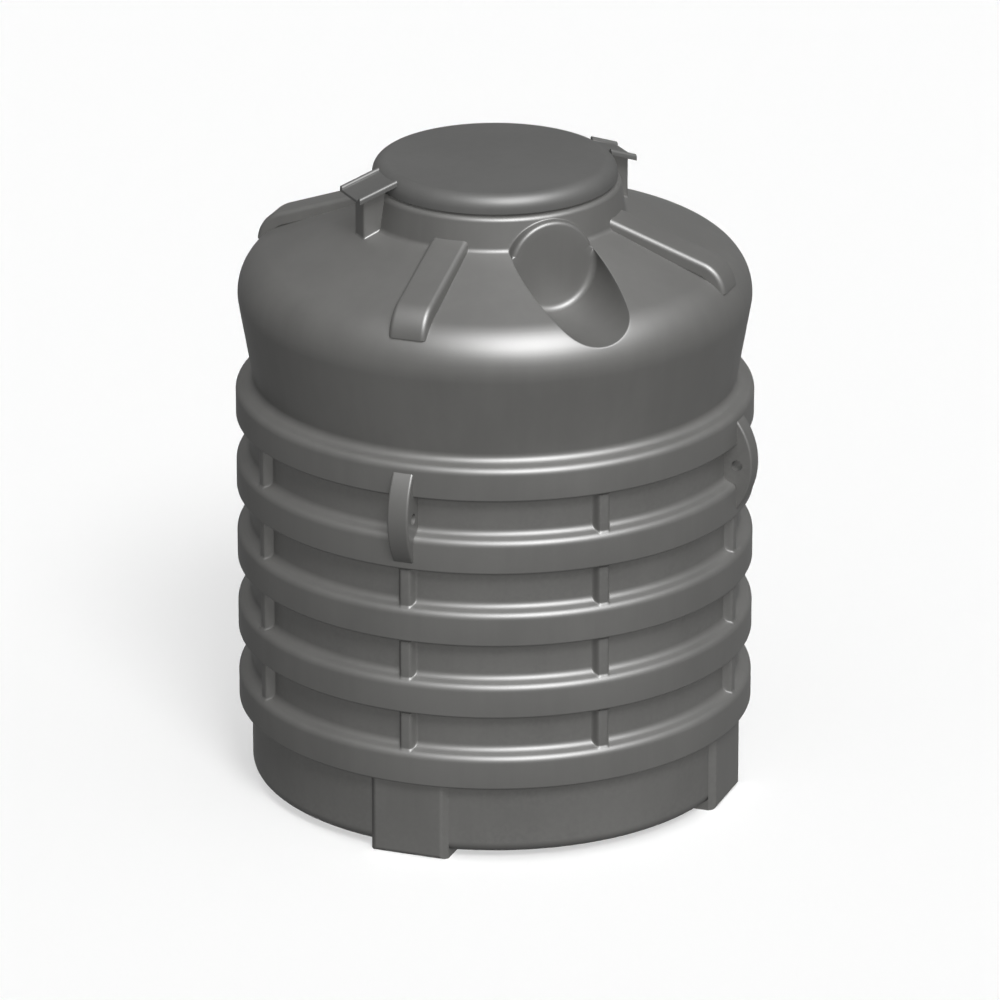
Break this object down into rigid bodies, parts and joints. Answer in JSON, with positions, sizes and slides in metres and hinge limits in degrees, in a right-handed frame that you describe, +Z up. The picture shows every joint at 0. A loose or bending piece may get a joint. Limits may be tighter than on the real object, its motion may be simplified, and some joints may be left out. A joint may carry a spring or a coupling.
{
  "type": "underground cistern",
  "caption": "Upright round plastic cistern with ring hoops, ribs, domed shoulder, pipe ports, feet, lifting eyes and a lift-off manhole lid.",
  "frame": {"origin": "on the tank's axis, level with the undersides of the four feet", "axes": "+Z up along the tank's axis; the inlet port faces -Y; feet and eyes are on the diagonals"},
  "size_m": [1.15, 1.15, 1.442],
  "materials": {
    "tank_plastic": "dark grey rotomoulded polyethylene, satin",
    "lid_plastic": "dark grey rotomoulded polyethylene, satin"
  },
  "bodies": {
    "tank": {"base_floor": "tank_plastic", "base_wall": "tank_plastic", "bay_wall_1": "tank_plastic", "bay_wall_2": "tank_plastic", "bay_wall_3": "tank_plastic", "bay_wall_4": "tank_plastic", "dome_left": "tank_plastic", "dome_right": "tank_plastic", "dome_strap_1": "tank_plastic", "dome_strap_2": "tank_plastic", "dome_strap_3": "tank_plastic", "dome_strap_4": "tank_plastic", "ear_lug_left": "tank_plastic", "ear_lug_right": "tank_plastic", "foot_1": "tank_plastic", "foot_2": "tank_plastic", "foot_3": "tank_plastic", "foot_4": "tank_plastic", "hoop_1": "tank_plastic", "hoop_2": "tank_plastic", "hoop_3": "tank_plastic", "hoop_4": "tank_plastic", "hoop_5": "tank_plastic", "inlet_port": "tank_plastic", "lifting_eye_1": "tank_plastic", "lifting_eye_2": "tank_plastic", "lifting_eye_3": "tank_plastic", "lifting_eye_4": "tank_plastic", "manhole_collar": "tank_plastic", "neck": "tank_plastic", "outlet_port": "tank_plastic", "shoulder": "tank_plastic", "upper_wall": "tank_plastic"},
    "lid": {"lid": "lid_plastic", "lid_ear_left": "lid_plastic", "lid_ear_right": "lid_plastic"}
  },
  "joints": [
    {"name": "lid_lift", "type": "slide", "parent": "tank", "child": "lid", "axis": [0, 0, 1], "range_m": [0, 0.15]}
  ]
}
